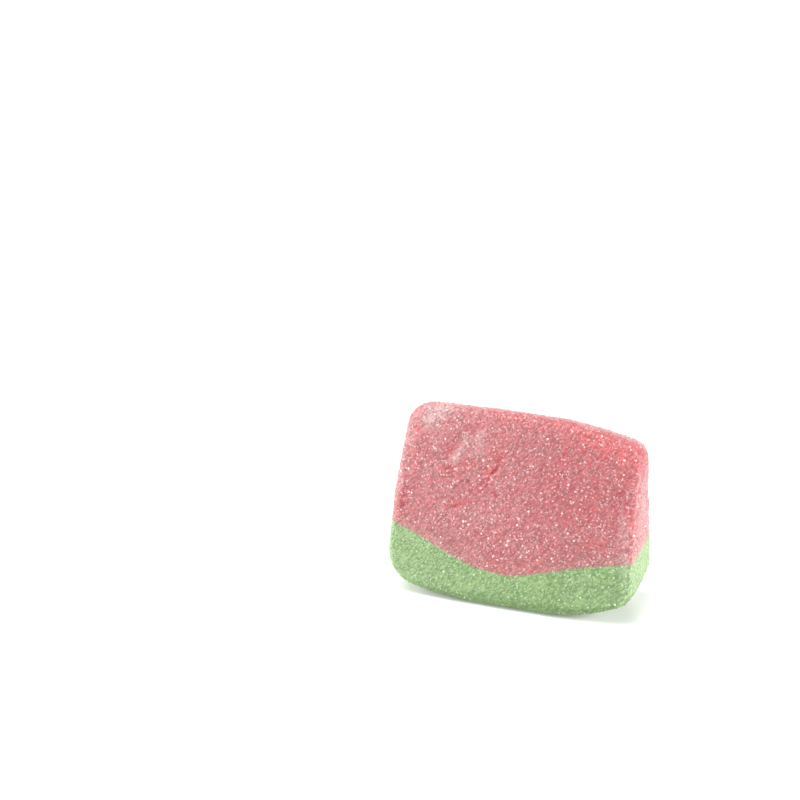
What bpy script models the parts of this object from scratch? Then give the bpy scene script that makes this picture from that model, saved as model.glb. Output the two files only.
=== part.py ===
"""A slab of two-coloured extruded marshmallow in the shape of a melon slice.

A rope of marshmallow has a rounded trapezoid as its section, with a convex
underside: pink flesh above a green rind. Two slanting cuts take one slab from
the rope, so the slab stands on its rind and tapers to a narrow ridge. The rope
runs along Y, so the section lies in the XZ plane. +Z is up, the front cut face
looks along -Y, and the origin is under the middle of the slab, on the surface
that it stands on.
"""

import math

import bmesh
import bpy
from mathutils import Vector

MM = 0.001

# Section of the rope, in millimetres
HEIGHT = 32.0
TOP_LEFT = -19.5            # corners of the section before they are rounded
TOP_RIGHT = 19.4
BASE_LEFT = -22.7
BASE_RIGHT = 19.1
BASE_LEFT_LIFT = 2.0        # the underside curves up to its end corners
BASE_RIGHT_LIFT = 3.8
FLAT_LEFT = -10.6           # stretch of the underside that the slab stands on
FLAT_RIGHT = 10.1
LEFT_SIDE_BULGE = -21.7     # the left side is fullest here
LEFT_SIDE_BULGE_LIFT = 15.5
CREST = -6.0                # the ridge is highest here
LEFT_SHOULDER_DROP = 0.3    # below the crest
CREST_END = 9.7             # the ridge falls gently to here, then faster
CREST_END_DROP = 0.45
RIGHT_SHOULDER_DROP = 3.0

TOP_LEFT_RADIUS = 4.8
TOP_RIGHT_RADIUS = 3.0
BASE_LEFT_RADIUS = 6.0
BASE_RIGHT_RADIUS = 4.1
UNDERSIDE_RADIUS = 30.0     # where the flat stretch turns up
CREST_RADIUS = 50.0
LEFT_SIDE_RADIUS = 40.0

# Slanting cuts, front and back
RIDGE_HALF_THICKNESS = 1.1
FRONT_SLOPE = 0.21          # how far a cut face moves out for each unit down
BACK_SLOPE = 0.19
CUT_EDGE_RADIUS = 0.6
LEFT_EDGE_RADIUS = 1.2
UNDERSIDE_EDGE_RADIUS = 2.1
CUT_FACE_CROWN = 0.35       # the soft slab swells a little on each side
END_CROWN = 0.3

# Line between flesh and rind: lowest near mid-length, higher at both ends
LINE_LOW_X = -2.8
LINE_LOW_Z = 6.0
LINE_LEFT_RISE = 6.0        # rise from the low point to each end of the slab
LINE_RIGHT_RISE = 4.8
LINE_LEFT_REACH = 18.5
LINE_RIGHT_REACH = 22.0
LINE_LEFT_SOFTNESS = 0.92   # larger values spread the rise over more of the reach
LINE_RIGHT_SOFTNESS = 0.70
LAYER_GAP = 0.3

# Fineness of the faceted surface
LONGEST_STEP = 1.8
ARC_STEP = math.radians(9.0)
CUT_EDGE_STEPS = 4
SKIN_STEPS = 6
CUT_FACE_STEPS = 7
LINE_STEPS = 40
CUTTER_MARGIN = 6.0

PINK = (0.66, 0.22, 0.25, 1.0)
GREEN = (0.30, 0.55, 0.21, 1.0)


def clear_scene():
    for item in list(bpy.data.objects):
        bpy.data.objects.remove(item, do_unlink=True)


def matt_material(name, colour):
    material = bpy.data.materials.new(name)
    material.use_nodes = True
    shader = material.node_tree.nodes["Principled BSDF"]
    shader.inputs["Base Color"].default_value = colour
    shader.inputs["Roughness"].default_value = 0.75
    shader.inputs["Metallic"].default_value = 0.0
    return material


def section_corners():
    """Corners of the section, anticlockwise seen from the front, with their radii."""
    return [
        (Vector((BASE_LEFT, BASE_LEFT_LIFT)), BASE_LEFT_RADIUS),
        (Vector((FLAT_LEFT, 0.0)), UNDERSIDE_RADIUS),
        (Vector((FLAT_RIGHT, 0.0)), UNDERSIDE_RADIUS),
        (Vector((BASE_RIGHT, BASE_RIGHT_LIFT)), BASE_RIGHT_RADIUS),
        (Vector((TOP_RIGHT, HEIGHT - RIGHT_SHOULDER_DROP)), TOP_RIGHT_RADIUS),
        (Vector((CREST_END, HEIGHT - CREST_END_DROP)), CREST_RADIUS),
        (Vector((CREST, HEIGHT)), CREST_RADIUS),
        (Vector((TOP_LEFT, HEIGHT - LEFT_SHOULDER_DROP)), TOP_LEFT_RADIUS),
        (Vector((LEFT_SIDE_BULGE, LEFT_SIDE_BULGE_LIFT)), LEFT_SIDE_RADIUS),
    ]


def corner_arc(before, corner, after, radius):
    """Points and outward directions along the arc that rounds one corner."""
    arriving = (corner - before).normalized()
    leaving = (after - corner).normalized()
    turn = math.atan2(arriving.cross(leaving), arriving.dot(leaving))
    cut_back = radius * math.tan(turn / 2.0)
    start = corner - arriving * cut_back
    centre = start + Vector((-arriving.y, arriving.x)) * radius
    steps = max(math.ceil(turn / ARC_STEP), math.ceil(turn * radius / LONGEST_STEP))
    first = math.atan2(start.y - centre.y, start.x - centre.x)
    arc = []
    for step in range(steps + 1):
        angle = first + turn * step / steps
        outward = Vector((math.cos(angle), math.sin(angle)))
        arc.append((centre + outward * radius, outward))
    return arc


def section_outline():
    """The closed rounded section as a list of (point, outward direction)."""
    corners = section_corners()
    count = len(corners)
    outline = []
    for index, (corner, radius) in enumerate(corners):
        before = corners[index - 1][0]
        after = corners[(index + 1) % count][0]
        arc = corner_arc(before, corner, after, radius)
        if outline:
            outline.extend(straight_run(outline[-1], arc[0]))
        outline.extend(arc)
    outline.extend(straight_run(outline[-1], outline[0]))
    return outline


def straight_run(start, end):
    """Evenly spaced points strictly between the ends of a straight stretch."""
    length = (end[0] - start[0]).length
    pieces = max(1, math.ceil(length / LONGEST_STEP))
    run = []
    for step in range(1, pieces):
        point = start[0].lerp(end[0], step / pieces)
        run.append((point, start[1]))
    return run


def edge_radius(outward):
    """Rounding between a cut face and the skin, larger at the left and underneath."""
    downward = max(0.0, -outward.y) ** 1.5
    leftward = max(0.0, -outward.x) ** 3
    radius = CUT_EDGE_RADIUS + (LEFT_EDGE_RADIUS - CUT_EDGE_RADIUS) * leftward
    return radius + (UNDERSIDE_EDGE_RADIUS - radius) * downward


def cut_depth(z, slope):
    """Distance of a cut face from the middle plane at height z."""
    return RIDGE_HALF_THICKNESS + slope * (HEIGHT - z)


def cut_face_rings(outline, slope):
    """Rings of (x, depth, z) from near the middle of a cut face to its edge."""
    rim = [point - outward * edge_radius(outward) for point, outward in outline]
    middle = Vector((0.0, HEIGHT / 2.0))
    rings = []
    for step in range(1, CUT_FACE_STEPS + 1):
        share = step / CUT_FACE_STEPS
        crown = CUT_FACE_CROWN * (1.0 - share * share)
        ring = []
        for point in rim:
            inner = middle.lerp(point, share)
            ring.append(Vector((inner.x, cut_depth(inner.y, slope) + crown, inner.y)))
        rings.append(ring)
    return rings


def rounded_edge_rings(outline, slope):
    """Rings of (x, depth, z) over the rounded edge, out to the skin."""
    rings = []
    for step in range(1, CUT_EDGE_STEPS + 1):
        angle = math.radians(90.0) * step / CUT_EDGE_STEPS
        ring = []
        for point, outward in outline:
            radius = edge_radius(outward)
            place = point - outward * radius * (1.0 - math.sin(angle))
            depth = cut_depth(place.y, slope) - radius * (1.0 - math.cos(angle))
            ring.append(Vector((place.x, depth, place.y)))
        rings.append(ring)
    return rings


def skin_rings(outline, front, back):
    """Rings of (x, y, z) across the skin, between the two rounded edges."""
    rings = []
    for step in range(1, SKIN_STEPS):
        share = step / SKIN_STEPS
        crown = END_CROWN * (1.0 - (2.0 * share - 1.0) ** 2)
        ring = []
        for index, (_, outward) in enumerate(outline):
            place = front[index].lerp(back[index], share)
            swell = outward * crown * abs(outward.x)
            ring.append(place + Vector((swell.x, 0.0, swell.y)))
        rings.append(ring)
    return rings


def towards_front(ring):
    return [Vector((place.x, -place.y, place.z)) for place in ring]


def slab_rings():
    """All rings of the slab, from the front cut face to the back one."""
    outline = section_outline()
    front = cut_face_rings(outline, FRONT_SLOPE) + rounded_edge_rings(outline, FRONT_SLOPE)
    front = [towards_front(ring) for ring in front]
    back = cut_face_rings(outline, BACK_SLOPE) + rounded_edge_rings(outline, BACK_SLOPE)
    back.reverse()
    return front + skin_rings(outline, front[-1], back[0]) + back


def centred(rings):
    """The rings moved so that the slab's box is centred on the origin in X and Y."""
    places = [place for ring in rings for place in ring]
    middle_x = (min(p.x for p in places) + max(p.x for p in places)) / 2.0
    middle_y = (min(p.y for p in places) + max(p.y for p in places)) / 2.0
    shift = Vector((-middle_x, -middle_y, 0.0))
    return [[place + shift for place in ring] for ring in rings], middle_x


def close_face(mesh, ring, face_middle, facing_front):
    """A fan from a cut face's innermost ring to the middle of the face."""
    hub = mesh.verts.new(face_middle * MM)
    count = len(ring)
    for index in range(count):
        pair = (ring[index], ring[(index + 1) % count])
        if facing_front:
            mesh.faces.new((hub, pair[0], pair[1]))
        else:
            mesh.faces.new((hub, pair[1], pair[0]))


def average(ring):
    total = Vector((0.0, 0.0, 0.0))
    for place in ring:
        total += place
    return total / len(ring)


def slab_mesh(rings):
    mesh = bmesh.new()
    loops = [[mesh.verts.new(place * MM) for place in ring] for ring in rings]
    count = len(loops[0])
    for near, far in zip(loops, loops[1:]):
        for index in range(count):
            after = (index + 1) % count
            mesh.faces.new((near[index], far[index], far[after], near[after]))
    close_face(mesh, loops[0], average(rings[0]), True)
    close_face(mesh, loops[-1], average(rings[-1]), False)
    data = bpy.data.meshes.new("slab")
    mesh.to_mesh(data)
    mesh.free()
    return data


def line_height(x):
    """Height of the line between flesh and rind at x, from the section's own zero."""
    if x < LINE_LOW_X:
        rise, reach, softness = LINE_LEFT_RISE, LINE_LEFT_REACH, LINE_LEFT_SOFTNESS
    else:
        rise, reach, softness = LINE_RIGHT_RISE, LINE_RIGHT_REACH, LINE_RIGHT_SOFTNESS
    share = (abs(x - LINE_LOW_X) / reach) ** 2
    bend = softness ** 2
    return LINE_LOW_Z + rise * share * (1.0 + bend) / (share + bend)


def layer_cutter(name, line_offset, far_z, shift_x):
    """A block bounded by the line between the layers and by the level far_z."""
    left = BASE_LEFT - CUTTER_MARGIN
    right = BASE_RIGHT + CUTTER_MARGIN
    half_depth = cut_depth(0.0, FRONT_SLOPE) + CUTTER_MARGIN
    along_line = []
    for step in range(LINE_STEPS + 1):
        x = left + (right - left) * step / LINE_STEPS
        along_line.append((x, line_height(x) + line_offset))
    mesh = bmesh.new()
    near = []
    for x, z in along_line + [(right, far_z), (left, far_z)]:
        near.append(mesh.verts.new(Vector((x - shift_x, -half_depth, z)) * MM))
    base = mesh.faces.new(near)
    grown = bmesh.ops.extrude_face_region(mesh, geom=[base])
    moved = [item for item in grown["geom"] if isinstance(item, bmesh.types.BMVert)]
    bmesh.ops.translate(mesh, verts=moved, vec=(0.0, 2.0 * half_depth * MM, 0.0))
    bmesh.ops.recalc_face_normals(mesh, faces=mesh.faces)
    data = bpy.data.meshes.new(name)
    mesh.to_mesh(data)
    mesh.free()
    cutter = bpy.data.objects.new(name, data)
    bpy.context.collection.objects.link(cutter)
    cutter.hide_render = True
    cutter.display_type = 'WIRE'
    return cutter


def layer(name, slab, cutter, material):
    """The part of the slab that lies inside one cutter."""
    data = slab.copy()
    data.name = name
    data.materials.append(material)
    data.shade_smooth()
    data.set_sharp_from_angle(angle=math.radians(35.0))
    piece = bpy.data.objects.new(name, data)
    bpy.context.collection.objects.link(piece)
    keep = piece.modifiers.new("keep_layer", 'BOOLEAN')
    keep.operation = 'INTERSECT'
    keep.solver = 'EXACT'
    keep.object = cutter
    return piece


def build():
    clear_scene()
    rings, middle_x = centred(slab_rings())
    slab = slab_mesh(rings)
    above = layer_cutter("above_line", LAYER_GAP / 2.0, HEIGHT + CUTTER_MARGIN, middle_x)
    below = layer_cutter("below_line", -LAYER_GAP / 2.0, -CUTTER_MARGIN, middle_x)
    layer("pink_flesh", slab, above, matt_material("pink_marshmallow", PINK))
    layer("green_rind", slab, below, matt_material("green_marshmallow", GREEN))
    bpy.data.meshes.remove(slab)


build()
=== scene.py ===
import math

import bmesh
import bpy
import numpy as np
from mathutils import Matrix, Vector


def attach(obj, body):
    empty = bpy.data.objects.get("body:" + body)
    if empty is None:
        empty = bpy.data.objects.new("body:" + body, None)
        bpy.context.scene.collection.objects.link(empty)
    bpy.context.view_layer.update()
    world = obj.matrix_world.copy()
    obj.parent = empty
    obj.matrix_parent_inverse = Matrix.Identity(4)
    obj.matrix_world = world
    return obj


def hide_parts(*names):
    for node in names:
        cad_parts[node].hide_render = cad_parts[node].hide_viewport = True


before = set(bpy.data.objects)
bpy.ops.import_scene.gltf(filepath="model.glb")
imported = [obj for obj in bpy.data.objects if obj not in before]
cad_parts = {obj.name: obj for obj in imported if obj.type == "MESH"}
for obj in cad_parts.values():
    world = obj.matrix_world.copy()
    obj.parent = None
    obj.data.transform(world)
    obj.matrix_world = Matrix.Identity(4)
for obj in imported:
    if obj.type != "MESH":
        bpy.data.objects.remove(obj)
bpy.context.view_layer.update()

# The scene dresses one slab of two-coloured extruded marshmallow. Both layers are
# remade as one fine displaced body, split along the line that the CAD layers give,
# and strewn with sugar crystals. Sizes are in millimetres, and in the part's own
# frame: x runs to the right end, y to the back and z up. Where a comment gives
# another unit, that unit holds. The last number of a call of noise is its seed.

MM = 0.001
PINK_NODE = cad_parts["pink_flesh"]
GREEN_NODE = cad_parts["green_rind"]

# Fineness of the body
VOXEL = 0.19
SMOOTH_ROUNDS = 4
SMOOTH_STRENGTH = 0.5

# Camera: the slab seen from its right end and above
CAMERA_AZIMUTH = math.radians(18.0)
CAMERA_ELEVATION = math.radians(26.85)
CAMERA_DISTANCE = 330.0
CAMERA_LENS = 91.3
SENSOR = 36.0
AIM_POINT = Vector((1.4, 0.3, 14.0))
# Where that point falls, right of the frame's middle and below it, in frame widths
AIM_RIGHT = 0.1589
AIM_DOWN = 0.1435
CLIP_NEAREST = 10.0
CLIP_FARTHEST = 10000.0

# Colours, linear
FLESH = (0.60, 0.085, 0.10)
FLESH_FROSTED = (0.71, 0.435, 0.435)
FLESH_WHITENED = (0.96, 0.71, 0.71)
# Painted glow: the flesh where light shows through the thin foam beside an edge
FLESH_GLOWING = (0.92, 0.22, 0.23)
RIND = (0.18, 0.44, 0.085)
RIND_FROSTED = (0.49, 0.70, 0.39)
RIND_WHITENED = (0.70, 0.87, 0.58)
# The rind's deep patches, and painted shade on its underside and low down
RIND_DEEP_AND_SHADED = (0.09, 0.24, 0.045)
SEAM = (0.62, 0.60, 0.38)
SUGAR_ON_FLESH = (1.00, 0.82, 0.80)
SUGAR_ON_RIND = (0.74, 0.90, 0.64)
FLOOR_WHITE = (0.95, 0.95, 0.95)

# How far fine sugar whitens the cut faces and the skin: 0 leaves the foam bare, 1 frosts
# it, and more whitens the frost
CUT_COVER = 0.435
SKIN_COVER = 0.72
MOST_COVER = 1.5

# Texture of the foam: size of its features, and how far it is drawn out along the pull
SPECK_SIZE = 0.17
SPECK_DRAWN = 1.6
GRAIN_SIZE = 0.27
GRAIN_DRAWN = 2.4
FURROW_SIZE = 0.40
FURROW_DRAWN = 6.0
MOTTLE_SIZE = 1.4
FLECK_SIZE = 0.24
# How much the cover swings from one speck, grain or mottle to the next
SPECK_SWING = 0.48
GRAIN_SWING = 0.35
MOTTLE_SWING = 0.30
# Painted shade: how dark the gaps between grains are, how much furrows, specks and
# grains swing from light to dark, and the darkest that all of it gets
GAP_SHADE = 1.00
DEEPEST_GAP = 0.5
FURROW_SHADE = 0.95
GRAIN_SHADE = 0.42
DEEPEST_SHADE = 0.60
# The colour of the painted shade in the gaps: the bare foam's, dimmed and made richer
GAP_DIMMING = 0.36
GAP_RICHNESS = 1.25
# Grains of sugar painted brighter than their neighbours, partly whiter sugar and partly
# painted glints: one in a hundred
FLECK_FROM = 0.99
FLECK_WHITENESS = 0.6
BUMP_STRENGTH = 0.8
BUMP_HEIGHT = 0.10
FOAM_ROUGHNESS = 0.5
# Light that wanders inside the foam: its share, and its reach in red, green and blue
GLOW_SHARE = 0.35
FLESH_GLOW_REACH = (1.6, 0.5, 0.5)
RIND_GLOW_REACH = (0.7, 1.2, 0.5)

# Direction in which the knife pulled the cut faces
PULL = Vector((0.66, 0.0, 0.75))

# Lamps round the slab: turn from the front towards the right end and height, in
# degrees, distance and size in metres, and brightness on a white card facing them
LAMPS = (
    ("top_light", -60.0, 75.0, 1.15, 0.80, 0.75),
    ("right_light", 84.0, 24.0, 1.20, 0.36, 0.82),
    ("left_light", -80.0, 22.0, 1.20, 0.80, 0.70),
    ("front_light", -25.0, 38.0, 1.20, 0.40, 0.04),
    ("back_light", 180.0, 35.0, 1.20, 0.40, 0.30),
)
HORIZON_GLOW = 1.0
SKY_GLOW = 0.20
HORIZON_TOP = 9.0           # degrees: the sky is as bright as the horizon up to here
SKY_FROM = 30.0             # degrees: and as dim as overhead from here
FLOOR_RADIUS = 500.0
FLOOR_SIDES = 96
FLOOR_GLOW = 0.14           # the table is lit a little from below
FLOOR_GRAIN_SIZE = 1.2
FLOOR_GRAIN_DIMMING = 0.985
FLOOR_ROUGHNESS = 0.9
FLOOR_SHINE = 0.1


# ---------------------------------------------------------------- smooth noise

NOISE_SLOPES = 256
NOISE_PRIMES = (73856093, 19349663, 83492791)
NOISE_STRENGTH = 1.6


def slope_table(seed):
    table = np.random.default_rng(seed).normal(size=(NOISE_SLOPES, 3))
    return table / np.linalg.norm(table, axis=1, keepdims=True)


def noise(points, seed):
    """Smooth gradient noise of about -1 to 1, one value for each point."""
    table = slope_table(seed)
    cell = np.floor(points).astype(np.int64)
    inside = points - cell
    fade = inside ** 3 * (inside * (inside * 6.0 - 15.0) + 10.0)
    total = np.zeros(len(points))
    for corner in np.ndindex(2, 2, 2):
        at = cell + np.array(corner)
        key = np.bitwise_xor.reduce(at * np.array(NOISE_PRIMES), axis=1)
        key ^= key >> 13
        slope = table[key & (NOISE_SLOPES - 1)]
        away = inside - np.array(corner)
        weight = np.prod(np.where(corner, fade, 1.0 - fade), axis=1)
        total += weight * np.sum(slope * away, axis=1)
    return total * NOISE_STRENGTH


def layered_noise(points, size, seed, layers=3):
    """Noise with features of the given size and finer ones on top of them."""
    total = np.zeros(len(points))
    strength = 1.0
    for layer in range(layers):
        total += strength * noise(points / size * 2.0 ** layer, seed + layer)
        strength *= 0.5
    return total


def smoothstep(low, high, value):
    share = np.clip((value - low) / (high - low), 0.0, 1.0)
    return share * share * (3.0 - 2.0 * share)


# ------------------------------------------------------ shape read from the frame

def mesh_points(mesh):
    flat = np.empty(len(mesh.vertices) * 3)
    mesh.vertices.foreach_get("co", flat)
    return flat.reshape(-1, 3) / MM


def mesh_normals(mesh):
    flat = np.empty(len(mesh.vertices) * 3)
    mesh.vertex_normals.foreach_get("vector", flat)
    return flat.reshape(-1, 3)


def facing_line(node, upwards):
    """(x, z) of a layer's vertices on faces that look up or down, sorted by x."""
    mesh = node.data
    places = {}
    for polygon in mesh.polygons:
        if polygon.normal.z * upwards > 0.5:
            for index in polygon.vertices:
                place = mesh.vertices[index].co / MM
                places[round(place.x, 2)] = place.z
    return np.array(sorted(places.items()))


FLESH_UNDERSIDE = facing_line(PINK_NODE, -1.0)
RIND_TOP = facing_line(GREEN_NODE, 1.0)


def line_height(x):
    """Middle of the gap between the layers."""
    return (np.interp(x, *FLESH_UNDERSIDE.T) + np.interp(x, *RIND_TOP.T)) / 2.0


def line_waver(points):
    """How far the line strays, and how it climbs to the back across the right end."""
    climb = 0.9 * smoothstep(19.6, 20.8, points[:, 0]) * smoothstep(-6.0, -2.0, points[:, 1])
    return climb + 0.10 * noise(points / 2.2, 71) + 0.06 * noise(points / 0.7, 72)


# ---------------------------------------------------------------- the fine body

def remeshed_body():
    """One closed skin round both layers, as an even fine mesh. The slab is convex."""
    hull = bmesh.new()
    for node in (PINK_NODE, GREEN_NODE):
        for vertex in node.data.vertices:
            hull.verts.new(vertex.co)
    result = bmesh.ops.convex_hull(hull, input=hull.verts)
    inner = [v for v in result["geom_interior"] if isinstance(v, bmesh.types.BMVert)]
    bmesh.ops.delete(hull, geom=inner, context='VERTS')
    data = bpy.data.meshes.new("body")
    hull.to_mesh(data)
    hull.free()
    body = bpy.data.objects.new("body", data)
    bpy.context.collection.objects.link(body)
    remesh = body.modifiers.new("even", 'REMESH')
    remesh.mode = 'VOXEL'
    remesh.voxel_size = VOXEL * MM
    smooth = body.modifiers.new("soft", 'SMOOTH')
    smooth.iterations = SMOOTH_ROUNDS
    smooth.factor = SMOOTH_STRENGTH
    depsgraph = bpy.context.evaluated_depsgraph_get()
    fine = bpy.data.meshes.new_from_object(body.evaluated_get(depsgraph))
    bpy.data.objects.remove(body)
    return fine


# ------------------------------------------------------- marks on the cut faces

# Each mark runs from one (x, z) to another, with its half width. The last number is a
# crack's depth, and for the other marks how much they change the cover, shade or glow.
FRONT_CRACKS = (
    ((-2.3, 24.6), (-2.8, 23.0), 0.16, 0.22),
    ((-2.8, 23.0), (-3.5, 22.3), 0.26, 0.42),
    ((-3.5, 22.3), (-4.0, 21.1), 0.20, 0.26),
    ((-4.0, 21.1), (-4.3, 19.9), 0.15, 0.16),
    ((-11.6, 21.9), (-9.8, 22.4), 0.20, 0.16),
    ((-9.8, 22.4), (-9.0, 23.2), 0.18, 0.14),
    ((-9.9, 22.2), (-10.6, 21.1), 0.20, 0.18),
    ((-3.0, 19.3), (-2.6, 18.9), 0.26, 0.22),
    ((-7.3, 20.3), (-7.0, 20.5), 0.26, 0.18),
    ((-9.9, 16.1), (-7.6, 16.9), 0.20, 0.14),
    ((-17.1, 16.3), (-18.4, 14.8), 0.18, 0.18),
    ((19.5, 13.0), (19.7, 12.7), 0.30, 0.22),
)
# Sugar smeared thickly over the foam
FRONT_SMEARS = (
    ((-11.4, 32.6), (-14.4, 29.6), 1.5, 0.80),
    ((-12.0, 32.4), (-13.6, 31.0), 0.7, 0.50),
    ((-15.6, 30.6), (-18.0, 25.4), 1.0, 0.24),
    ((18.7, 18.0), (19.5, 10.0), 0.8, 0.42),
    ((19.8, 9.0), (18.9, 4.0), 0.6, 0.25),
    ((-8.0, 27.4), (-9.9, 23.4), 0.6, 0.55),
    ((-5.6, 28.2), (-6.6, 25.2), 0.8, 0.24),
    ((-3.2, 22.4), (-3.7, 21.2), 0.3, 0.45),
)
# Foam from which sugar was rubbed off
FRONT_BARE = (
    ((-6.4, 29.6), (-11.5, 24.8), 0.9, 0.16),
    ((19.4, 26.6), (11.5, 30.9), 1.6, 0.22),
    ((-18.0, 18.0), (-18.9, 14.2), 0.5, 0.40),
    ((-16.9, 28.4), (-16.3, 27.2), 0.5, 0.35),
    ((-2.4, 24.6), (-5.0, 19.2), 1.0, 0.22),
    ((-8.8, 23.4), (-11.8, 21.0), 0.9, 0.18),
    ((-10.6, 15.8), (-7.0, 17.2), 0.6, 0.22),
)
# Furrows and hollows that keep light out
FRONT_SHADES = (
    ((5.2, 29.0), (4.7, 21.0), 0.45, 0.12),
    ((3.0, 27.5), (0.6, 22.0), 0.5, 0.08),
    ((-12.6, 24.5), (-8.2, 29.0), 0.35, 0.14),
    ((-11.8, 17.4), (-7.0, 21.2), 0.4, 0.10),
    ((-14.5, 12.0), (-7.5, 8.4), 0.9, 0.06),
    ((6.0, 8.2), (16.5, 10.2), 1.0, 0.06),
    ((18.5, 8.6), (17.9, 4.2), 0.7, 0.12),
)
# Painted glow: light that comes through the thin foam beside an edge, painted in
FRONT_GLOW = (
    ((20.6, 26.6), (20.4, 11.0), 1.1, 0.85),
    ((19.8, 27.6), (9.0, 31.8), 2.2, 0.85),
    ((9.0, 31.8), (-13.0, 32.2), 2.0, 0.65),
    ((-15.4, 30.6), (-18.2, 25.4), 1.4, 0.80),
    ((-18.2, 27.0), (-19.9, 12.0), 0.6, 0.35),
    ((-3.0, 23.6), (-4.4, 20.4), 0.5, 0.40),
)


def near_segment(points, start, end, half_width):
    """1 on a segment in the XZ plane, falling softly to 0 away from it."""
    start = np.array(start)
    along = np.array(end) - start
    across = points[:, [0, 2]] - start
    share = np.clip(across @ along / (along @ along), 0.0, 1.0)
    distance = np.linalg.norm(across - share[:, None] * along, axis=1)
    return np.exp(-(distance / half_width) ** 2)


def wandered(points):
    """The points moved a little to and fro, so that marks on them run unevenly."""
    shift = np.zeros_like(points)
    shift[:, 0] = 0.22 * noise(points / 0.8, 51) + 0.12 * noise(points / 0.4, 52)
    shift[:, 2] = 0.22 * noise(points / 0.8, 53) + 0.12 * noise(points / 0.4, 54)
    return points + shift


def marks(points, listed):
    total = np.zeros(len(points))
    for start, end, half_width, strength in listed:
        total = np.maximum(total, strength * near_segment(points, start, end, half_width))
    return total


def back_marks(seed, count, length, half_width, strength):
    """Marks strewn over the back cut face, along the knife's pull."""
    random = np.random.default_rng(seed)
    listed = []
    for _ in range(count):
        x = random.uniform(-17.0, 17.0)
        z = random.uniform(9.0, 29.0)
        pull = math.radians(random.uniform(35.0, 60.0))
        reach = length * random.uniform(0.4, 1.2)
        end = (x + reach * math.cos(pull), z + reach * math.sin(pull))
        size = random.uniform(0.7, 1.3)
        listed.append(((x, z), end, half_width * size, strength * random.uniform(0.6, 1.1)))
    return listed


BACK_CRACKS = back_marks(3, 7, 2.4, 0.3, 0.4)
BACK_SMEARS = back_marks(5, 5, 4.0, 0.8, 0.3)
BACK_BARE = back_marks(6, 5, 6.0, 1.1, 0.3)
BACK_SHADES = back_marks(7, 6, 5.0, 0.5, 0.12)


# --------------------------------------------------------- what covers the foam

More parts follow.
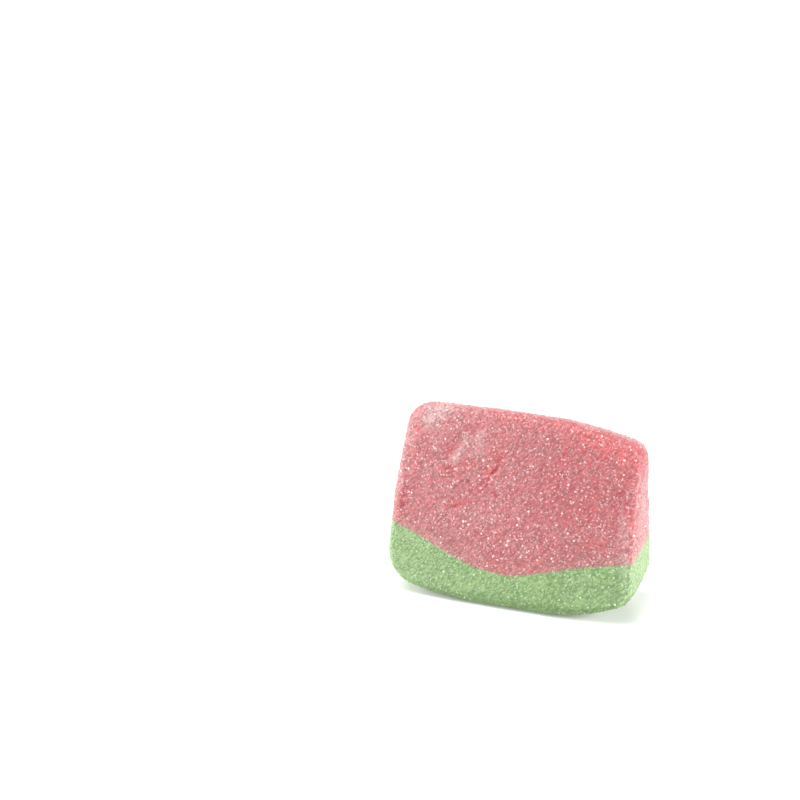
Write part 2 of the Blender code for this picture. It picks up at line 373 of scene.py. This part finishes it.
class Surface:
    """What is known of each point of the fine body before it is displaced."""

    def __init__(self, mesh):
        self.points = mesh_points(mesh)
        self.normals = mesh_normals(mesh)
        self.wandered = wandered(self.points)
        backwards = self.normals[:, 1]
        upwards = self.normals[:, 2]
        self.cut = smoothstep(0.89, 0.965, np.abs(backwards))
        self.skin = 1.0 - self.cut
        self.front = self.cut * (backwards < 0.0)
        self.towards_front = smoothstep(0.3, -0.3, backwards)
        self.back = self.cut * (backwards > 0.0)
        self.ridge = smoothstep(0.35, 0.75, upwards)
        self.under = smoothstep(0.0, -0.5, upwards)
        self.crack = self.front * marks(self.wandered, FRONT_CRACKS)
        self.crack += self.back * marks(self.wandered, BACK_CRACKS)
        self.drag = self.knife_drag()

    def knife_drag(self):
        """Fine furrows that the knife pulled across the cut faces."""
        x, y, z = self.points.T
        along = x * PULL.x + z * PULL.z
        across = x * PULL.z - z * PULL.x
        fine = noise(np.stack([along / 2.6, y / 3.0, across / 0.55], axis=1), 21)
        broad = noise(np.stack([along / 9.0, y / 6.0, across / 2.1], axis=1), 22)
        return 0.6 * fine + 0.6 * broad

    def relief(self):
        """How far the foam stands out from the even body. It lies flat where it rests."""
        p = self.points
        lumps = 0.16 * noise(p / 11.0, 11) + 0.07 * noise(p / 4.5, 12)
        pebbles = (0.035 + 0.015 * self.cut) * layered_noise(p, 1.7, 13, 2)
        furrows = 0.05 * self.cut * self.drag
        grit = 0.03 * noise(p / 0.5, 16)
        height = lumps + pebbles + furrows + grit - self.crack
        return height * (0.15 + 0.85 * smoothstep(0.0, 1.2, p[:, 2]))

    def sugar_cover_and_low_shade(self):
        """How far fine sugar whitens each point, from 0 for bare foam to MOST_COVER. Less of it
        low down and underneath is painted shade.
        """
        p = self.points
        x, y, z = p.T
        rightwards = smoothstep(-10.0, 10.0, x)
        cover_and_low_shade = SKIN_COVER + (CUT_COVER - SKIN_COVER) * self.cut

        # The ridge is whiter towards the back and the right
        on_ridge = 0.44 + 0.24 * rightwards + 0.16 * layered_noise(p, 2.4, 33, 3)
        on_ridge += 0.55 * smoothstep(-0.4, 1.0, y + 0.3 * noise(p / 0.9, 37))
        cover_and_low_shade += (on_ridge - cover_and_low_shade) * self.ridge

        # The front is barer at the upper right, whiter on the left and at the lower right
        upper_right = smoothstep(2.0, 12.0, x) * smoothstep(11.0, 18.0, z)
        lower_right = smoothstep(4.0, 12.0, x) * smoothstep(16.0, 10.0, z)
        cover_and_low_shade -= 0.09 * self.front * upper_right
        cover_and_low_shade += 0.07 * self.front * smoothstep(3.0, -11.0, x)
        cover_and_low_shade += 0.03 * self.front * lower_right

        # Barer low down and underneath, which is painted shade near the floor; barer high on
        # the right end and on the flesh of the left end, and whiter on the left of the rind
        cover_and_low_shade -= 0.34 * smoothstep(3.4, 1.2, z) * smoothstep(-16.0, -8.0, x)
        cover_and_low_shade += 0.14 * smoothstep(-11.0, -17.0, x) * smoothstep(13.0, 10.0, z)
        cover_and_low_shade -= 0.40 * self.skin * smoothstep(21.0, 29.0, z) * rightwards
        cover_and_low_shade -= 0.60 * self.under
        left_end = smoothstep(-12.0, -17.0, x) * smoothstep(11.0, 14.0, z)
        cover_and_low_shade -= 0.09 * self.skin * left_end * (1.0 - self.ridge)

        # Streaks on the skin, blotches, furrows and marks
        streaks = noise(p / np.array((0.5, 0.5, 1.1)), 38)
        cover_and_low_shade += self.skin * (0.16 * streaks - 0.5 * smoothstep(0.6, 0.9, streaks))
        cover_and_low_shade += 0.10 * layered_noise(p, 3.5, 31, 3)
        cover_and_low_shade += 0.07 * self.cut * self.drag
        cover_and_low_shade += self.towards_front * marks(self.wandered, FRONT_SMEARS)
        cover_and_low_shade -= self.front * marks(self.wandered, FRONT_BARE)
        cover_and_low_shade += self.back * marks(self.wandered, BACK_SMEARS)
        cover_and_low_shade -= self.back * marks(self.wandered, BACK_BARE)
        cover_and_low_shade -= 1.2 * self.crack
        return np.clip(cover_and_low_shade, 0.0, MOST_COVER)

    def shade(self):
        """Painted shade: the share of light that is kept out, and below 0 painted light where
        more than usual comes back.
        """
        x, _, z = self.points.T
        # Painted shade: darker towards the right and low down on the cut faces, and less on the
        # skin
        shade = 0.06 * self.cut * smoothstep(-4.0, 10.0, x)
        shade += 0.02 * self.cut - 0.05 * self.skin
        shade += 0.05 * self.cut * smoothstep(16.0, 8.0, z)
        shade += self.front * marks(self.wandered, FRONT_SHADES)
        shade -= 0.22 * self.towards_front * marks(self.wandered, FRONT_SMEARS)
        shade += self.back * marks(self.wandered, BACK_SHADES)
        shade += 0.04 * self.cut * self.drag + 0.25 * self.crack
        return np.clip(shade, -0.1, 0.5)

    def sparkle(self):
        """How often a crystal is painted white as a painted glint, as a factor for each point."""
        x, _, z = self.points.T
        low_middle = np.exp(-((x + 1.0) / 9.0) ** 2 - ((z - 11.0) / 5.5) ** 2)
        return 0.7 + self.cut * (1.3 * low_middle + 0.5 * smoothstep(4.0, -8.0, x))

    def edge_glow(self):
        """Painted glow: where light shows through the foam beside an edge or in a crack."""
        front = smoothstep(0.5, 0.9, -self.normals[:, 1])
        return front * marks(self.wandered, FRONT_GLOW)

    def rind_depth_and_shade(self):
        """How deep the green is: darker in patches, and painted shade towards the underside and
        low down.
        """
        x, _, z = self.points.T
        # Painted shade on the underside and low down, near the floor
        low = 0.9 * self.under + 0.65 * smoothstep(3.8, 1.2, z)
        low *= smoothstep(-20.0, -9.0, x)
        patches = smoothstep(-0.1, 0.6, layered_noise(self.points, 1.5, 61, 3))
        beside_end = self.front * near_segment(self.wandered, (18.3, 9.6), (18.1, 4.2), 0.8)
        return np.clip(low + 0.45 * patches + 0.4 * beside_end, 0.0, 1.0)


def store(mesh, name, values):
    layer = mesh.attributes.new(name, 'FLOAT', 'POINT')
    layer.data.foreach_set("value", np.ascontiguousarray(values, dtype=np.float32))


def set_points(mesh, points):
    mesh.vertices.foreach_set("co", np.ascontiguousarray(points * MM).ravel())
    mesh.update()


def layer_of(mesh, line, name, keep_above):
    """One layer of the body: the part above or below the line, closed along it."""
    lifted = mesh.copy()
    lifted.name = name
    points = mesh_points(mesh)
    points[:, 2] -= line
    set_points(lifted, points)
    split = bmesh.new()
    split.from_mesh(lifted)
    level = split.verts.layers.float.new("line")
    for vertex, height in zip(split.verts, line):
        vertex[level] = height
    geometry = split.verts[:] + split.edges[:] + split.faces[:]
    bmesh.ops.bisect_plane(
        split, geom=geometry, plane_co=(0.0, 0.0, 0.0), plane_no=(0.0, 0.0, 1.0),
        dist=1e-9, clear_outer=not keep_above, clear_inner=keep_above)
    rim = [edge for edge in split.edges if edge.is_boundary]
    closing = bmesh.ops.holes_fill(split, edges=rim, sides=0)["faces"]
    bmesh.ops.triangulate(split, faces=closing)
    bmesh.ops.recalc_face_normals(split, faces=split.faces)
    for vertex in split.verts:
        vertex.co.z += vertex[level] * MM
    split.normal_update()
    split.to_mesh(lifted)
    split.free()
    return lifted


# ------------------------------------------------------------------- materials

def new_material(name):
    material = bpy.data.materials.new(name)
    material.use_nodes = True
    return material, material.node_tree.nodes, material.node_tree.links


def link_math(nodes, links, operation, first, second):
    node = nodes.new("ShaderNodeMath")
    node.operation = operation
    for socket, value in zip(node.inputs, (first, second)):
        if isinstance(value, (int, float)):
            socket.default_value = value
        else:
            links.new(value, socket)
    return node.outputs[0]


# Sockets of a colour mix
MIX_SHARE, MIX_FIRST, MIX_SECOND, MIX_RESULT = 0, 6, 7, 2


def link_mix(nodes, links, share, first, second):
    node = nodes.new("ShaderNodeMix")
    node.data_type = 'RGBA'
    node.clamp_factor = True
    for index, value in ((MIX_SHARE, share), (MIX_FIRST, first), (MIX_SECOND, second)):
        socket = node.inputs[index]
        if isinstance(value, tuple):
            socket.default_value = (*value, 1.0)
        elif isinstance(value, (int, float)):
            socket.default_value = value
        else:
            links.new(value, socket)
    return node.outputs[MIX_RESULT]


def attribute_value(nodes, name):
    node = nodes.new("ShaderNodeAttribute")
    node.attribute_name = name
    return node.outputs["Fac"]


def grain_cells(nodes, links, place, size):
    """A random value and a distance for each cell of the given size in millimetres."""
    cells = nodes.new("ShaderNodeTexVoronoi")
    cells.inputs["Scale"].default_value = 1.0 / (size * MM)
    links.new(place, cells.inputs["Vector"])
    split = nodes.new("ShaderNodeSeparateColor")
    links.new(cells.outputs["Color"], split.inputs[0])
    return split.outputs[0], cells.outputs["Distance"]


def soft_noise(nodes, links, place, size, detail):
    node = nodes.new("ShaderNodeTexNoise")
    node.inputs["Scale"].default_value = 1.0 / (size * MM)
    node.inputs["Detail"].default_value = detail
    links.new(place, node.inputs["Vector"])
    return node.outputs["Fac"]


def along_pull(nodes, links, place, length):
    """Coordinates that run with the knife's pull, drawn out along it."""
    turn = nodes.new("ShaderNodeMapping")
    turn.vector_type = 'TEXTURE'
    turn.inputs["Rotation"].default_value = (0.0, -math.atan2(PULL.z, PULL.x), 0.0)
    turn.inputs["Scale"].default_value = (length, 1.0, 1.0)
    links.new(place, turn.inputs["Vector"])
    return turn.outputs["Vector"]


def centred_swing(nodes, links, value, swing):
    """A value of 0 to 1 turned into one of minus half the swing to plus half."""
    output = link_math(nodes, links, 'MULTIPLY_ADD', value, swing)
    output.node.inputs[2].default_value = -swing / 2.0
    return output


def add_swings(nodes, links, total, swings):
    """The total with each value's centred swing added to it."""
    for value, swing in swings:
        centred = centred_swing(nodes, links, value, swing)
        total = link_math(nodes, links, 'ADD', total, centred)
    return total


def foam_material(name, steps, glow_shade_and_depth_colour, sugar, glow):
    """Matt foam under a coat of fine sugar that whitens it from grain to grain, with painted
    glow on the flesh, painted shade on the rind and in the gaps, and painted glints.
    """
    bare, frosted, whitened = steps
    material, nodes, links = new_material(name)
    shader = nodes["Principled BSDF"]
    place = nodes.new("ShaderNodeTexCoord").outputs["Object"]
    specks_place = along_pull(nodes, links, place, SPECK_DRAWN)
    grains_place = along_pull(nodes, links, place, GRAIN_DRAWN)
    furrows_place = along_pull(nodes, links, place, FURROW_DRAWN)
    speck, _ = grain_cells(nodes, links, specks_place, SPECK_SIZE)
    grain, gap = grain_cells(nodes, links, grains_place, GRAIN_SIZE)
    fleck, _ = grain_cells(nodes, links, place, FLECK_SIZE)
    mottle = soft_noise(nodes, links, place, MOTTLE_SIZE, 3.0)
    furrow = soft_noise(nodes, links, furrows_place, FURROW_SIZE, 1.0)

    cover_and_low_shade = attribute_value(nodes, "cover_and_low_shade")
    cover_and_low_shade = add_swings(nodes, links, cover_and_low_shade, (
        (speck, SPECK_SWING), (grain, GRAIN_SWING), (mottle, MOTTLE_SWING)))
    # Painted glow on the flesh; on the rind, deeper patches and painted shade
    base = link_mix(nodes, links, attribute_value(nodes, "glow_shade_and_depth"), bare, glow_shade_and_depth_colour)
    colour = link_mix(nodes, links, cover_and_low_shade, base, frosted)
    beyond = link_math(nodes, links, 'SUBTRACT', cover_and_low_shade, 1.0)
    colour = link_mix(nodes, links, beyond, colour, whitened)
    colour = link_mix(nodes, links, attribute_value(nodes, "seam"), colour, SEAM)

    # Painted shade: furrows, gaps between grains and some of the grains are darker
    painted_shade = link_math(nodes, links, 'MULTIPLY', gap, gap)
    painted_shade = link_math(nodes, links, 'MINIMUM', painted_shade, DEEPEST_GAP)
    painted_shade = link_math(nodes, links, 'MULTIPLY', painted_shade, GAP_SHADE)
    painted_shade = add_swings(nodes, links, painted_shade, (
        (furrow, FURROW_SHADE), (speck, GRAIN_SHADE), (grain, GRAIN_SHADE)))
    painted_shade = link_math(nodes, links, 'ADD', painted_shade, attribute_value(nodes, "shade"))
    painted_shade = link_math(nodes, links, 'MINIMUM', painted_shade, DEEPEST_SHADE)
    gap_shadow_colour = tuple(GAP_DIMMING * channel ** GAP_RICHNESS for channel in bare)
    colour = link_mix(nodes, links, painted_shade, colour, gap_shadow_colour)
    # Painted glints: one grain in a hundred is whitened, partly whiter sugar
    bright = link_math(nodes, links, 'GREATER_THAN', fleck, FLECK_FROM)
    bright = link_math(nodes, links, 'MULTIPLY', bright, FLECK_WHITENESS)
    colour = link_mix(nodes, links, bright, colour, sugar)
    links.new(colour, shader.inputs["Base Color"])

    height = link_math(nodes, links, 'SUBTRACT', speck, gap)
    bump = nodes.new("ShaderNodeBump")
    bump.inputs["Strength"].default_value = BUMP_STRENGTH
    bump.inputs["Distance"].default_value = BUMP_HEIGHT * MM
    links.new(height, bump.inputs["Height"])
    links.new(bump.outputs["Normal"], shader.inputs["Normal"])

    shader.inputs["Roughness"].default_value = FOAM_ROUGHNESS
    shader.inputs["Subsurface Weight"].default_value = GLOW_SHARE
    shader.inputs["Subsurface Radius"].default_value = glow
    shader.inputs["Subsurface Scale"].default_value = MM
    return material


def sugar_material():
    """Crystals that take most of their colour from the foam behind them, painted in for the
    light that clear crystals let through.
    """
    material, nodes, links = new_material("sugar")
    shader = nodes["Principled BSDF"]
    tint = nodes.new("ShaderNodeAttribute")
    tint.attribute_name = "tint"
    place = nodes.new("ShaderNodeTexCoord").outputs["Object"]
    cloud = soft_noise(nodes, links, place, SUGAR_CLOUD_SIZE, 2.0)
    share = link_math(nodes, links, 'MULTIPLY', cloud, SUGAR_CLOUD_WHITENESS)
    colour = link_mix(nodes, links, share, tint.outputs["Color"], SUGAR_ON_FLESH)
    links.new(colour, shader.inputs["Base Color"])
    shader.inputs["Roughness"].default_value = SUGAR_ROUGHNESS
    shader.inputs["IOR"].default_value = SUGAR_IOR
    return material


def floor_material():
    material, nodes, links = new_material("floor")
    shader = nodes["Principled BSDF"]
    place = nodes.new("ShaderNodeTexCoord").outputs["Object"]
    grain = soft_noise(nodes, links, place, FLOOR_GRAIN_SIZE, 3.0)
    darker = tuple(channel * FLOOR_GRAIN_DIMMING for channel in FLOOR_WHITE)
    colour = link_mix(nodes, links, grain, FLOOR_WHITE, darker)
    links.new(colour, shader.inputs["Base Color"])
    shader.inputs["Roughness"].default_value = FLOOR_ROUGHNESS
    shader.inputs["Specular IOR Level"].default_value = FLOOR_SHINE
    shader.inputs["Emission Color"].default_value = (1.0, 1.0, 1.0, 1.0)
    shader.inputs["Emission Strength"].default_value = FLOOR_GLOW
    return material


# ---------------------------------------------------------------------- sugar

def crystal_shape(random, cuts):
    """A chipped box about 1 across: its corners and its triangles."""
    block = bmesh.new()
    for corner in np.ndindex(2, 2, 2):
        block.verts.new((np.array(corner) - 0.5) * random.uniform(0.82, 1.0, 3))
    bmesh.ops.convex_hull(block, input=block.verts)
    for _ in range(cuts):
        towards = Vector(random.normal(size=3)).normalized()
        reach = random.uniform(0.50, 0.62)
        geometry = block.verts[:] + block.edges[:] + block.faces[:]
        cut = bmesh.ops.bisect_plane(
            block, geom=geometry, plane_co=towards * reach, plane_no=towards, clear_outer=True)
        rim = [e for e in cut["geom_cut"] if isinstance(e, bmesh.types.BMEdge)]
        if rim:
            bmesh.ops.holes_fill(block, edges=rim)
    hull = bmesh.new()
    for vertex in block.verts:
        hull.verts.new(vertex.co)
    bmesh.ops.remove_doubles(hull, verts=hull.verts, dist=0.03)
    bmesh.ops.convex_hull(hull, input=hull.verts)
    bmesh.ops.triangulate(hull, faces=hull.faces)
    hull.verts.index_update()
    corners = np.array([v.co[:] for v in hull.verts])
    triangles = np.array([[v.index for v in f.verts] for f in hull.faces])
    block.free()
    hull.free()
    return corners, triangles


def shard_shape(random):
    """A pointed splinter about 1 long: its corners and its triangles."""
    half = np.array([0.30, 0.36, 0.62]) * random.uniform(0.75, 1.2, 3)
    ends = np.eye(3) * half
    corners = np.concatenate([ends, -ends]) + random.normal(0.0, 0.06, (6, 3))
    triangles = []
    for x, y, z in np.ndindex(2, 2, 2):
        face = [3 * x, 1 + 3 * y, 2 + 3 * z]
        triangles.append(face if (x + y + z) % 2 == 0 else face[::-1])
    return corners, np.array(triangles)


def random_turns(random, lean):
    """Rotation matrices whose third axis leans the way that each row of lean points."""
    count = len(lean)
    long_axis = random.normal(size=(count, 3)) + lean
    long_axis /= np.linalg.norm(long_axis, axis=1, keepdims=True)
    side = np.cross(long_axis, random.normal(size=(count, 3)))
    side /= np.linalg.norm(side, axis=1, keepdims=True)
    return np.stack([side, np.cross(long_axis, side), long_axis], axis=2)


def strew(mesh, count, random, wanted):
    """Places, normals and nearest vertices of points strewn over a mesh."""
    mesh.calc_loop_triangles()
    corners = np.empty(len(mesh.loop_triangles) * 3, dtype=np.int64)
    mesh.loop_triangles.foreach_get("vertices", corners)
    corners = corners.reshape(-1, 3)
    points = mesh_points(mesh)
    normals = mesh_normals(mesh)
    a, b, c = (points[corners[:, k]] for k in range(3))
    weight = np.linalg.norm(np.cross(b - a, c - a), axis=1) * wanted[corners[:, 0]]
    chosen = random.choice(len(corners), size=count, p=weight / weight.sum())
    u = np.sqrt(random.random(count))
    v = random.random(count)
    shares = np.stack([1 - u, u * (1 - v), u * v], axis=1)
    place = np.einsum('nk,nkd->nd', shares, points[corners[chosen]])
    return place, normals[corners[chosen, 0]], corners[chosen, 0]


def grains(name, shapes, place, normal, lean, size, tint, random):
    """One mesh of many crystals, half sunk into the surface."""
    count = len(place)
    turns = random_turns(random, lean)
    stretch = random.uniform(0.75, 1.25, size=(count, 3))
    lift = random.uniform(-0.38, -0.02, size=count) * size
    centre = place + normal * lift[:, None]
    kind = random.integers(len(shapes), size=count)
    all_points, all_triangles, all_tints = [], [], []
    used = 0
    for index, (corners, triangles) in enumerate(shapes):
        mine = np.flatnonzero(kind == index)
        scaled = corners[None] * (stretch[mine] * size[mine, None])[:, None, :]
        turned = np.einsum('nij,nkj->nki', turns[mine], scaled) + centre[mine, None, :]
        first = used + np.arange(len(mine)) * len(corners)
        all_points.append(turned.reshape(-1, 3))
        all_triangles.append((triangles[None] + first[:, None, None]).reshape(-1, 3))
        all_tints.append(np.repeat(tint[mine], len(corners), axis=0))
        used += len(mine) * len(corners)
    points = np.concatenate(all_points)
    triangles = np.concatenate(all_triangles)
    tints = np.concatenate(all_tints)
    mesh = bpy.data.meshes.new(name)
    mesh.vertices.add(len(points))
    mesh.vertices.foreach_set("co", (points * MM).ravel())
    mesh.loops.add(len(triangles) * 3)
    mesh.loops.foreach_set("vertex_index", triangles.ravel())
    mesh.polygons.add(len(triangles))
    mesh.polygons.foreach_set("loop_start", np.arange(len(triangles)) * 3)
    mesh.update(calc_edges=True)
    mesh.validate()
    layer = mesh.attributes.new("tint", 'FLOAT_COLOR', 'POINT')
    layer.data.foreach_set("color", np.c_[tints, np.ones(len(tints))].ravel())
    return mesh


def add_piece(name, mesh, material, node=None):
    mesh.materials.clear()
    mesh.materials.append(material)
    piece = bpy.data.objects.new(name, mesh)
    bpy.context.collection.objects.link(piece)
    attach(piece, "root")
    if node:
        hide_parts(node)


def seam_blush(above):
    """How far the two colours mix along the line, given the height above it."""
    on_line = 0.55 * np.exp(-(above / 0.13) ** 2)
    in_flesh = 0.20 * np.exp(-(np.maximum(above, 0.0) / 1.3) ** 2)
    return np.maximum(on_line, in_flesh)


def build_slab():
    body = remeshed_body()
    surface = Surface(body)
    line = line_height(surface.points[:, 0]) + line_waver(surface.points)
    above = surface.points[:, 2] - line
    cover_and_low_shade = surface.sugar_cover_and_low_shade()
    glow_shade_and_depth = np.where(above > 0.0, surface.edge_glow(), surface.rind_depth_and_shade())
    store(body, "cover_and_low_shade", cover_and_low_shade)
    store(body, "seam", seam_blush(above))
    store(body, "shade", surface.shade())
    store(body, "glow_shade_and_depth", glow_shade_and_depth)
    points = surface.points + surface.normals * surface.relief()[:, None]
    points[:, 2] = np.maximum(points[:, 2], 0.0)
    set_points(body, points)
    line = points[:, 2] - above

    pink = foam_material(
        "pink_foam_look", (FLESH, FLESH_FROSTED, FLESH_WHITENED), FLESH_GLOWING,
        SUGAR_ON_FLESH, FLESH_GLOW_REACH)
    green = foam_material(
        "green_foam_look", (RIND, RIND_FROSTED, RIND_WHITENED), RIND_DEEP_AND_SHADED,
        SUGAR_ON_RIND, RIND_GLOW_REACH)
    upper = layer_of(body, line, "pink_foam", True)
    lower = layer_of(body, line, "green_foam", False)
    for mesh in (upper, lower):
        mesh.shade_smooth()
    add_piece("pink_foam", upper, pink, "pink_flesh")
    add_piece("green_foam", lower, green, "green_rind")
    strew_sugar(body, surface, above, cover_and_low_shade, glow_shade_and_depth)


def colour_mix(share, first, second):
    """Colours between two others, one for each share."""
    return np.array(first) * (1.0 - share) + np.array(second) * share


def under_colour(above, cover_and_low_shade, glow_shade_and_depth, shade):
    """Colour of the sugared foam at each vertex, with its painted glow and shade, which the
    crystals on it let through, painted onto them.
    """
    share = np.clip(cover_and_low_shade, 0.0, 1.0)[:, None]
    pink = colour_mix(share, colour_mix(glow_shade_and_depth[:, None], FLESH, FLESH_GLOWING), FLESH_FROSTED)
    green = colour_mix(share, colour_mix(glow_shade_and_depth[:, None], RIND, RIND_DEEP_AND_SHADED), RIND_FROSTED)
    return np.where(above[:, None] > 0.0, pink, green) * (1.0 - shade[:, None])


# Sugar: name, count, smallest and largest size, how white a crystal mostly is, and the
# shares of crystals painted the bare foam's colour as painted shade and painted white as
# painted glints
SUGAR_KINDS = (
    ("sugar_dust", 24000, 0.09, 0.15, 0.06, 0.20, 0.015),
    ("fine_sugar", 24000, 0.14, 0.22, 0.06, 0.18, 0.025),
    ("medium_sugar", 9000, 0.20, 0.28, 0.08, 0.10, 0.040),
    ("coarse_sugar", 900, 0.26, 0.36, 0.10, 0.00, 0.22),
)
# Painted shade that dims the colour the crystals take from the foam
SHADE_UNDER_SUGAR = 0.12
SUGAR_LEAN = 1.6            # how strongly crystals lean along the pull on the cut faces
SUGAR_ROUGHNESS = 0.16
SUGAR_IOR = 1.56
SUGAR_CLOUD_SIZE = 0.25
SUGAR_CLOUD_WHITENESS = 0.25


def strew_sugar(body, surface, above, cover_and_low_shade, glow_shade_and_depth):
    """The crystals on the slab, one piece for each kind. Few lie in cracks or touch the floor."""
    random = np.random.default_rng(11)
    below = under_colour(above, cover_and_low_shade, glow_shade_and_depth, surface.shade() + SHADE_UNDER_SUGAR)
    sparkle = surface.sparkle() * np.where(above > 0.0, 1.0, 0.6)
    bare = np.where(above[:, None] > 0.0, FLESH, RIND)
    white = np.where(above[:, None] > 0.0, SUGAR_ON_FLESH, SUGAR_ON_RIND)
    sugar = sugar_material()
    clear_of_floor = smoothstep(0.3, 1.0, surface.points[:, 2])
    shapes = {
        "sugar_dust": [shard_shape(random) for _ in range(6)],
        "fine_sugar": [shard_shape(random) for _ in range(8)],
        "medium_sugar": [crystal_shape(random, 1) for _ in range(8)],
        "coarse_sugar": [crystal_shape(random, 3) for _ in range(8)],
    }
    wanted = clear_of_floor * (1.0 - 0.97 * np.clip(surface.crack * 7.0, 0.0, 1.0))
    for name, count, smallest, largest, white_share, shadow_grain_share, flash_share in SUGAR_KINDS:
        place, normal, vertex = strew(body, count, random, wanted)
        lean = SUGAR_LEAN * surface.cut[vertex, None] * np.array(PULL)
        size = random.uniform(smallest, largest, count)
        share = np.clip(random.normal(white_share, 0.10, count), 0.0, 1.0)
        luck = random.random(count)
        # Painted glints: crystals that flash are painted nearly white
        flashing = luck > 1.0 - flash_share * sparkle[vertex]
        share = np.where(flashing, random.uniform(0.4, 0.9, count), share)
        tint = colour_mix(share[:, None], below[vertex], white[vertex])
        # Painted shade: some crystals take the bare foam's colour as dark spots in the gaps
        tint = np.where(luck[:, None] < shadow_grain_share, bare[vertex], tint)
        tint = np.clip(tint * random.uniform(0.78, 1.22, (count, 1)), 0.0, 1.0)
        mesh = grains(name, shapes[name], place, normal, lean, size, tint, random)
        add_piece(name, mesh, sugar)


# --------------------------------------------------------------- floor and light

def build_floor():
    mesh = bpy.data.meshes.new("floor")
    disc = bmesh.new()
    bmesh.ops.create_circle(
        disc, cap_ends=True, segments=FLOOR_SIDES, radius=FLOOR_RADIUS * MM)
    disc.to_mesh(mesh)
    disc.free()
    floor = bpy.data.objects.new("floor", mesh)
    bpy.context.collection.objects.link(floor)
    mesh.materials.append(floor_material())


def direction(turn, height):
    """Away from the slab: turn from the front towards the right end, and height."""
    level = math.cos(height)
    return Vector((math.sin(turn) * level, -math.cos(turn) * level, math.sin(height)))


def add_lamp(name, turn, height, distance, size, brightness):
    """A square soft light aimed at the slab."""
    light = bpy.data.lights.new(name, 'AREA')
    light.shape = 'SQUARE'
    light.size = size
    light.energy = brightness * (math.pi * distance) ** 2       # watts
    lamp = bpy.data.objects.new(name, light)
    bpy.context.collection.objects.link(lamp)
    away = direction(math.radians(turn), math.radians(height))
    lamp.location = AIM_POINT * MM + away * distance
    lamp.rotation_mode = 'QUATERNION'
    lamp.rotation_quaternion = (-away).to_track_quat('-Z', 'Y')


def build_sky():
    """A studio that is white round the horizon and dimmer overhead."""
    world = bpy.data.worlds.new("studio")
    bpy.context.scene.world = world
    world.use_nodes = True
    nodes, links = world.node_tree.nodes, world.node_tree.links
    way = nodes.new("ShaderNodeTexCoord").outputs["Generated"]
    split = nodes.new("ShaderNodeSeparateXYZ")
    links.new(way, split.inputs[0])
    fall = nodes.new("ShaderNodeMapRange")
    fall.interpolation_type = 'SMOOTHSTEP'
    fall.inputs["From Min"].default_value = math.sin(math.radians(HORIZON_TOP))
    fall.inputs["From Max"].default_value = math.sin(math.radians(SKY_FROM))
    fall.inputs["To Min"].default_value = HORIZON_GLOW
    fall.inputs["To Max"].default_value = SKY_GLOW
    links.new(split.outputs["Z"], fall.inputs["Value"])
    background = nodes["Background"]
    background.inputs["Color"].default_value = (1.0, 1.0, 1.0, 1.0)
    links.new(fall.outputs["Result"], background.inputs["Strength"])


def build_light():
    build_sky()
    for lamp in LAMPS:
        add_lamp(*lamp)
    bpy.context.scene.view_settings.view_transform = 'Standard'


def build_camera():
    camera = bpy.data.cameras.new("camera")
    camera.lens = CAMERA_LENS
    camera.sensor_width = SENSOR
    camera.clip_start = CLIP_NEAREST * MM
    camera.clip_end = CLIP_FARTHEST * MM
    holder = bpy.data.objects.new("camera", camera)
    bpy.context.collection.objects.link(holder)
    back = direction(CAMERA_AZIMUTH, CAMERA_ELEVATION)
    holder.location = (AIM_POINT + back * CAMERA_DISTANCE) * MM
    straight = (-back).to_track_quat('-Z', 'Y')
    field = SENSOR / CAMERA_LENS
    seen_at = Vector((AIM_RIGHT * field, -AIM_DOWN * field, -1.0))
    swing = Vector((0.0, 0.0, -1.0)).rotation_difference(seen_at)
    holder.rotation_mode = 'QUATERNION'
    holder.rotation_quaternion = straight @ swing.inverted()
    bpy.context.scene.camera = holder


build_slab()
build_floor()
build_light()
build_camera()
